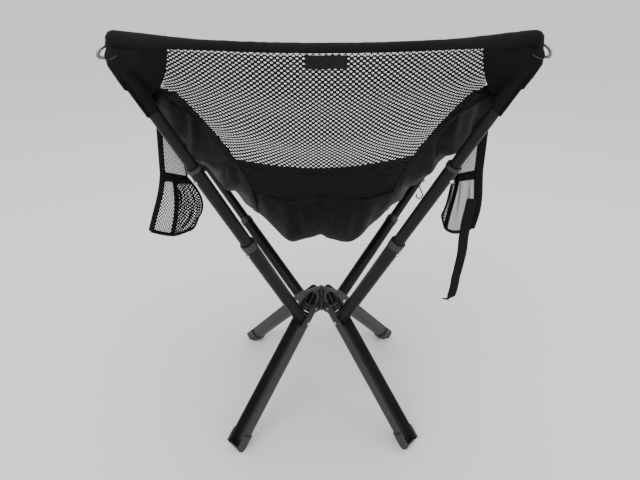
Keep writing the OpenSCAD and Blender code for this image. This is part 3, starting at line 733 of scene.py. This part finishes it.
def build_pocket(side):
    tag = "left" if side > 0 else "right"
    lo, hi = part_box("side_pocket_" + tag)
    y0, y1 = lo.y, hi.y
    floor, rise, tall = lo.z - 0.004, 0.050, 0.090
    seam, fullness = (0.60, 0.020) if side > 0 else (0.20, 0.006)
    over = np.linspace(0.3, 1.0, 120)
    side_edge = edge(over)

    def bag(u, v, face):
        """u runs from front to back over the bag, v from its floor to its mouth, and on above it to the
        sling's edge. face 1 is the outer net, which leaves the inner one between the front and the seam."""
        u, v = np.broadcast_arrays(np.asarray(u, float), np.asarray(v, float))
        low = np.clip(v, 0, 1)
        y = y0 + (y1 - y0) * u
        sag = 0.012 * np.sin(math.pi * np.clip(u, 0, 1) ** 0.9) * (1 - low) ** 2
        round_off = 0.016 * (1 - low) ** 3 * np.clip(1 - u / 0.12, 0, 1) ** 2
        z = floor + rise * u - sag + round_off + tall * low
        back = bag_edge(BAG_BACK[side], low)
        front = bag_edge(BAG_FRONT[side], low)
        x = front + (back - front) * np.clip(u, 0, 1) ** 0.85
        belly = np.sin(math.pi * np.clip(u / seam, 0, 1)) * (0.35 + 0.65 * np.sin(math.pi * low))
        x = x + face * belly * fullness + 0.0016 * np.sin(u * 19 + 3 * low + face) * np.sin(math.pi * low)
        top_x = np.interp(y - hub_y, side_edge[:, 1], side_edge[:, 0]) - 0.004
        top_z = np.interp(y - hub_y, side_edge[:, 1], side_edge[:, 2])
        w = np.clip((v - 1) * tall / (top_z - z), 0, 1)
        return np.stack([side * (x + (top_x - x) * w), y, z + (top_z - z) * w], -1)

    pitch_x, pitch_y = 0.0056, 0.0054
    cols, rows = int((y1 - y0) / pitch_x), int(tall / (pitch_y / 2))
    for face, label in ((1, "outer"), (0, "inner")):
        cells = []
        for j in range(rows if face else 3 * rows):
            for i in range(cols):
                y, z = (i + 0.5 + 0.5 * (j % 2)) * pitch_x, (j + 1) * pitch_y / 2
                u = y / (y1 - y0)
                if face and u > seam:
                    continue
                mouth = floor + rise * u + tall
                above = np.interp(y0 + y - hub_y, side_edge[:, 1], side_edge[:, 2]) - mouth
                if z > tall and z - tall > above:
                    continue
                cells.append((y, z, pitch_x / 2, pitch_y / 2))

        def place(q, face=face):
            p = bag(q[..., 0] / (y1 - y0), q[..., 1] / tall, face)
            n = np.zeros_like(p)
            n[..., 0] = side
            return p, n

        gap = (0.00135, 0.0012) if face and side > 0 else (0.00155, 0.00140)
        hole = lambda c, gap=gap: np.stack([gap[0] + 0 * c[:, 0], gap[1] + 0 * c[:, 0]], -1)
        net = net_piece(f"pocket_net_{label}_{tag}", place, cells, hole)
        if face:
            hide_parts("side_pocket_" + tag)
        soft(net)
    # bound edges, the seam between the two nets, and the broad hem round the mouth
    flat_to = np.array([1.0, 0, 0])
    v = np.linspace(0, 1, 30)
    back_half = 0.0040 if side > 0 else 0.0065
    flat_back = np.array([0, 1.0, 0])
    for u, label, size, facing in ((0.0, "front", 0.0036, flat_to), (1.0, "back", back_half, flat_back),
                                   (seam, "seam", 0.0036, flat_back)):
        path = bag(np.full_like(v, u), v, 1)
        soft(tube(f"pocket_binding_{label}_{tag}", path, size, BINDING, flat=0.4, up=facing))
    u = np.linspace(0, 1, 60)
    path = bag(u, np.zeros_like(u), 1)
    soft(tube("pocket_binding_bottom_" + tag, path, 0.0030, BINDING, flat=0.5, up=flat_to))
    for face, label in ((1, "outer"), (0, "inner")):
        rowsz = np.linspace(-0.0115, 0.0025, 5) / tall
        p = np.stack([bag(u, np.full_like(u, 1 + dz), face) for dz in rowsz])
        soft(shell(f"pocket_hem_{label}_{tag}", p, 0.0018, BINDING))
    # the inner net's front and back edges are bound on up to the sling
    v = np.linspace(1, 3, 60)
    for u, label, size in ((0.0, "front", 0.0032), (1.0, "back", back_half)):
        path = bag(np.full_like(v, u), v, 0)
        keep = np.concatenate([[True], np.linalg.norm(np.diff(path, axis=0), axis=1) > 1e-6])
        facing = flat_to if label == "front" else flat_back
        soft(tube(f"pocket_riser_{label}_{tag}", path[keep], size, BINDING, flat=0.4, up=facing))


# ---- Strap, hook loop, rings, label ----
def build_strap():
    # the strap's route in the CAD, in millimetres from the hub
    route = 0.001 * np.array([
        [-215, 100, 452], [-214, 101, 440], [-213, 101, 427], [-212, 101, 414], [-212, 101, 401],
        [-212, 101, 387], [-213, 101, 373], [-213, 101, 359], [-212, 101, 345], [-211, 101, 332],
        [-210, 100, 319], [-210, 100, 306], [-209, 100, 293], [-208, 99, 282], [-205, 98, 276],
        [-200, 97, 275], [-195, 97, 276]])
    route = resample(route + np.array([0, hub_y, 0]), 0.0035)
    turn = np.linspace(0, 1, len(route))
    facing = unit(np.array([0.96, 0.28, 0]) + 0.06 * np.sin(turn * 6)[:, None] * np.array([0.4, -0.9, 0]))
    # the tail turns its edge to the camera
    tail = smooth(0.90, 0.97, turn)[:, None]
    wide = unit(facing * (1 - tail) + unit(np.array([0.0, 0.886, 0.463])) * tail)
    tangent = unit(np.gradient(route, axis=0))
    wide = unit(wide - tangent * (wide * tangent).sum(1)[:, None])
    off = np.linspace(-0.5, 0.5, 7) * 0.016 * (1 - 0.6 * smooth(0.93, 1.0, turn))[:, None]
    p = route[:, None] + wide[:, None] * off[:, :, None]
    strap = shell("pocket_strap_webbing", p, 0.0016, WEBBING)
    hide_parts("pocket_strap")
    soft(strap)


def build_hook_loop():
    lo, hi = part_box("hook_loop")
    mid = (np.array(lo) + np.array(hi)) / 2
    top = hi.z
    a = np.linspace(0, math.pi, 9)
    half = (hi.y - lo.y) / 2 - 0.0006
    down = [(mid[0], mid[1] - half, z) for z in np.linspace(top - 0.001, lo.z + half + 0.001, 8)]
    turn = [(mid[0], mid[1] - half * math.cos(q), lo.z + half + 0.001 - half * 0.9 * math.sin(q))
            for q in a[1:-1]]
    back = [(mid[0], mid[1] + half, z) for z in np.linspace(lo.z + half + 0.001, top - 0.001, 8)]
    path = resample(down + turn + back, 0.002)
    wide = np.broadcast_to(np.array([1.0, 0, 0]), path.shape)
    p = path[:, None] + wide[:, None] * (np.linspace(-0.5, 0.5, 5) * 0.008)[None, :, None]
    loop = shell("hook_loop_webbing", p, 0.0011, WEBBING)
    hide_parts("hook_loop")
    soft(loop)


def build_label():
    """A plain blank label, hung from the hem's lower edge."""
    lo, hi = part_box("label")
    mid = (np.array(lo) + np.array(hi)) / 2
    u = np.linspace(-0.5, 0.5, 24)
    v = np.linspace(-0.5, 0.5, 9)
    tall = unit(sling(0.0, 1.0) - sling(0.0, 0.97))
    mid = sling(0.0, 1.0) - tall * 0.0125 + np.array([mid[0], 0.0, 0.0])
    face = unit(np.cross(np.array([1.0, 0, 0]), tall))
    mid = mid + face * (0.0035 if face[1] > 0 else -0.0035)
    p = (mid + u[None, :, None] * 0.044 * np.array([-1.0, 0, 0]) + v[:, None, None] * 0.015 * tall
         + face * (0.0006 * np.sin(u * 9)[None, :, None] + 0 * v[:, None, None]))
    tag = shell("blank_label", p, 0.0008, LABEL)
    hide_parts("label")
    soft(tag)


def build_rings():
    """A flat ring on each side, held under the hem."""
    for side, label in ((1, "left"), (-1, "right")):
        pivot, along, length = pole("back_" + label)
        tip = pivot + along * length
        out = unit(np.array([side * 0.786, 0.286, -0.548]))
        over = unit(np.array([side * 0.171, 0.752, 0.637]))
        over = unit(over - out * (over @ out))
        a = np.linspace(0, 2 * math.pi, 61)
        centre = tip + np.array([side * 0.0085, -0.010, 0.001])
        ring = centre + np.cos(a)[:, None] * out * 0.0095 + np.sin(a)[:, None] * over * 0.0062
        thick = unit(np.cross(out, over))
        p = ring[None] + np.linspace(-0.5, 0.5, 5)[:, None, None] * (ring - centre)[None] * 0.42
        p = p + thick * 0.0004 * np.cos(2 * a)[None, :, None]
        band_ring = shell("corner_ring_" + label, p, 0.0014, GREY_METAL, closed=True)
        if side > 0:
            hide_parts("corner_loops")
        soft(band_ring)


build_seat()
for side in (1, -1):
    build_wing(side)
    build_corners(side)
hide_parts("back_corner_patches")
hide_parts("front_corner_patches")
build_hem()
build_net()
for side in (1, -1):
    build_pocket(side)
build_strap()
build_hook_loop()
build_label()
build_rings()


# ---- Stage and light ----
def stage_and_light():
    floor_mat = Mat("pale_floor", (0.66, 0.66, 0.655), 0.65, spec=0.3)
    floor_mat.bump(floor_mat.noise(floor_mat.coords(), 60), 0.0004, 0.3)
    floor = make("floor", [(-300, -300, 0), (300, -300, 0), (300, 300, 0), (-300, 300, 0)], [(0, 1, 2, 3)],
                 floor_mat.mat, smooth_faces=False)
    world = bpy.data.worlds.new("world")
    bpy.context.scene.world = world
    world.use_nodes = True
    world.node_tree.nodes["Background"].inputs["Color"].default_value = (0.95, 0.97, 1.0, 1)
    # brighter overhead than at the horizon
    tree = world.node_tree
    split = tree.nodes.new("ShaderNodeSeparateXYZ")
    tree.links.new(tree.nodes.new("ShaderNodeTexCoord").outputs["Generated"], split.inputs["Vector"])
    level = tree.nodes.new("ShaderNodeMapRange")
    tree.links.new(split.outputs["Z"], level.inputs["Value"])
    for key, value in (("From Min", 0.0), ("From Max", 0.9), ("To Min", 0.65), ("To Max", 1.75)):
        level.inputs[key].default_value = value
    tree.links.new(level.outputs["Result"], tree.nodes["Background"].inputs["Strength"])
    for name, at, aim, size, power in (
            ("key", (1.3, 1.5, 2.4), (0, 0, 0.35), 1.6, 34),
            ("fill", (-1.9, 0.9, 1.7), (0, 0, 0.4), 2.0, 16),
            ("low", (0.2, 2.4, 0.5), (0, 0, 0.2), 1.6, 14),
            ("top", (0, -0.9, 2.6), (0, 0, 0.4), 2.4, 20)):
        data = bpy.data.lights.new(name, "AREA")
        data.size, data.energy = size, power
        lamp = bpy.data.objects.new(name, data)
        bpy.context.scene.collection.objects.link(lamp)
        lamp.location = at
        lamp.rotation_euler = (Vector(aim) - Vector(at)).to_track_quat("-Z", "Y").to_euler()


stage_and_light()
